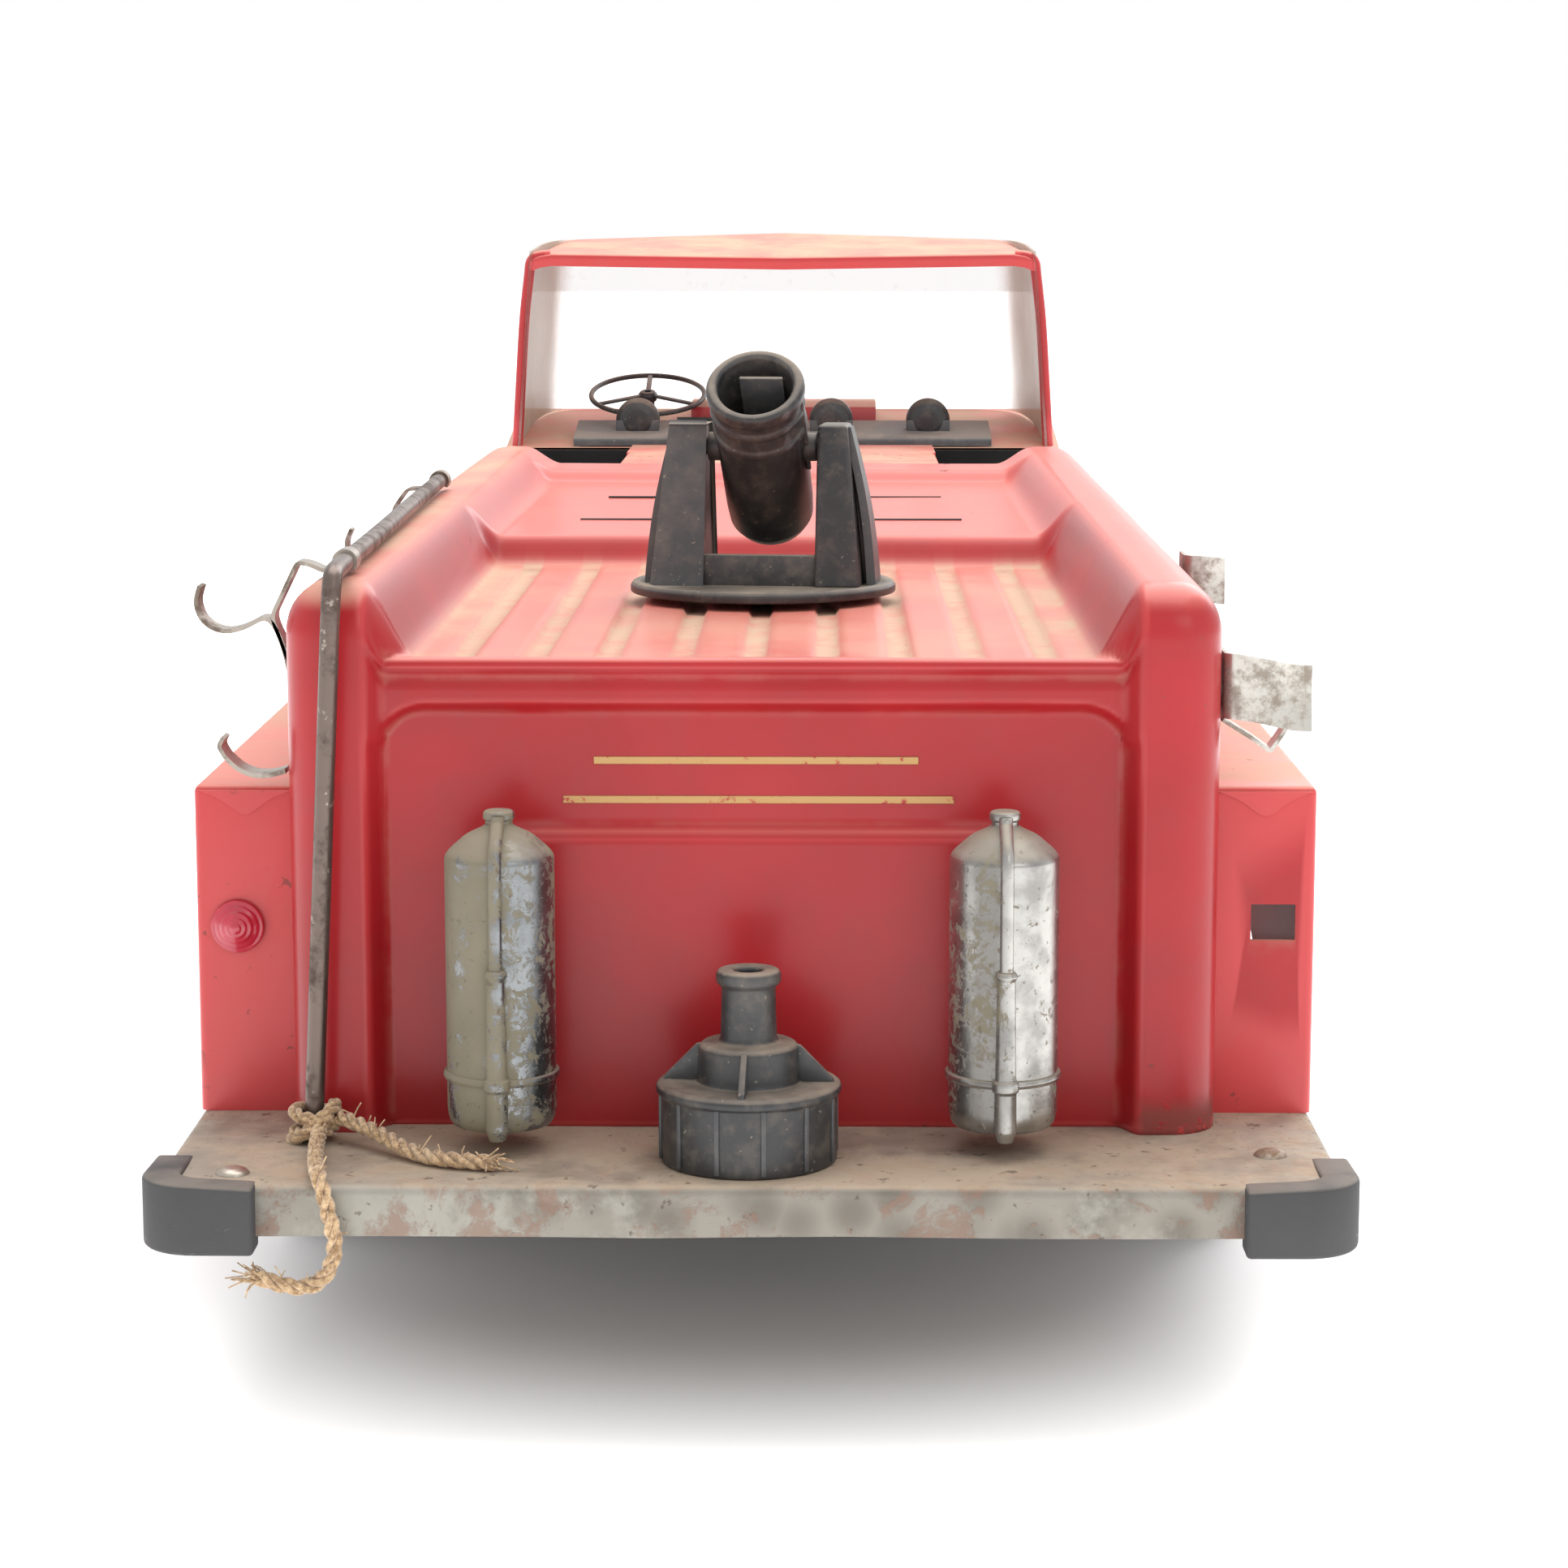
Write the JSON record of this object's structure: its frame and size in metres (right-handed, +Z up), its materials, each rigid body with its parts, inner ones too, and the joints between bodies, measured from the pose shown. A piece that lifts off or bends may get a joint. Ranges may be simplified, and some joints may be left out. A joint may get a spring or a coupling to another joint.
{
  "type": "toy fire engine",
  "caption": "Pressed-steel toy fire engine with open cab, hose bed, swivelling water cannon, rear step, grab rail and rolling wheels.",
  "frame": {"origin": "on the floor under the middle of the engine's box, measured without the twine", "axes": "+X to the engine's right, +Y to its front, +Z up"},
  "size_m": [0.227, 0.6459, 0.2209],
  "materials": {
    "red_paint": "faded gloss enamel, dusty",
    "galvanised": "dull galvanised, rust stained",
    "chassis_steel": "matt black paint",
    "axle_steel": "plain steel",
    "rail_steel": "tarnished wire",
    "strip_steel": "tarnished strip",
    "corner_rubber": "dull",
    "tyre": "dull",
    "wheel_hub": "white plastic",
    "black_plastic": "dusty moulded",
    "chromed_plastic": "worn vacuum chrome",
    "red_lens": "clear red",
    "clear_pane": "clear plastic, dusty at the sides",
    "seat_plastic": "black vinyl look",
    "panel_plastic": "bright pressed panel",
    "twine": "jute twine"
  },
  "bodies": {
    "engine": {"chassis_pan": "chassis_steel", "rear_step": "galvanised", "step_corner_left": "corner_rubber", "step_corner_right": "corner_rubber", "step_rivets": "galvanised", "axle_brackets": "chassis_steel", "hose_bed_body": "red_paint", "fender_left": "red_paint", "fender_right": "red_paint", "side_panel_left": "red_paint", "side_panel_right": "red_paint", "front_fender_left": "red_paint", "front_fender_right": "red_paint", "running_boards": "galvanised", "pump_panels": "panel_plastic", "tail_lens_left": "red_lens", "cab_shell": "red_paint", "engine_cover": "red_paint", "jump_seats": "seat_plastic", "bench_seat": "seat_plastic", "dash_panel": "red_paint", "gauge_panel": "black_plastic", "gauge_pods": "black_plastic", "windshield_frame": "red_paint", "windshield_pane": "clear_pane", "steering_column": "black_plastic", "grille": "panel_plastic", "headlight_rims": "chromed_plastic", "headlight_lenses": "clear_pane", "front_bumper": "galvanised", "extinguisher_left": "chromed_plastic", "extinguisher_right": "chromed_plastic", "extinguisher_bands": "chromed_plastic", "extinguisher_hoses": "chromed_plastic", "adapter_peg": "chassis_steel", "grab_rail": "rail_steel", "rail_clips": "strip_steel", "hose_hook_upper": "strip_steel", "hose_hook_lower": "strip_steel", "hose_hook_front": "strip_steel", "side_bracket_lower": "strip_steel", "side_bracket_upper": "strip_steel", "twine_tail_hanging": "twine", "twine_tail_lying": "twine", "twine_knot": "twine"},
    "rear_wheels": {"rear_axle": "axle_steel", "rear_tyre_left": "tyre", "rear_tyre_right": "tyre", "rear_hubs": "wheel_hub"},
    "front_wheels": {"front_axle": "axle_steel", "front_tyre_left": "tyre", "front_tyre_right": "tyre", "front_hubs": "wheel_hub"},
    "turret": {"cannon_yoke": "black_plastic", "swivel_nut": "axle_steel"},
    "barrel": {"cannon_barrel": "black_plastic", "trunnion_pins": "black_plastic", "nozzle_tab": "black_plastic"},
    "helm": {"steering_wheel": "black_plastic"},
    "adapter": {"hose_adapter": "black_plastic"}
  },
  "joints": [
    {"name": "rear_wheels_roll", "type": "hinge", "parent": "engine", "child": "rear_wheels", "pos_m": [0, -0.1505, 0.032], "axis": [1, 0, 0], "continuous": true},
    {"name": "front_wheels_roll", "type": "hinge", "parent": "engine", "child": "front_wheels", "pos_m": [0, 0.1945, 0.032], "axis": [1, 0, 0], "continuous": true},
    {"name": "turret_swivel", "type": "hinge", "parent": "engine", "child": "turret", "pos_m": [0, -0.1565, 0.1435], "axis": [0, 0, 1], "continuous": true},
    {"name": "barrel_elevation", "type": "hinge", "parent": "turret", "child": "barrel", "pos_m": [0, -0.1565, 0.176], "axis": [0.9936, -0.1132, 0], "range_deg": [-30, 44]},
    {"name": "helm_turn", "type": "hinge", "parent": "engine", "child": "helm", "pos_m": [-0.0459, 0.2655, 0.166], "axis": [0, -0.2924, 0.9563], "continuous": true},
    {"name": "adapter_lift", "type": "slide", "parent": "engine", "child": "adapter", "axis": [0, 0, 1], "range_m": [0, 0.03]}
  ]
}
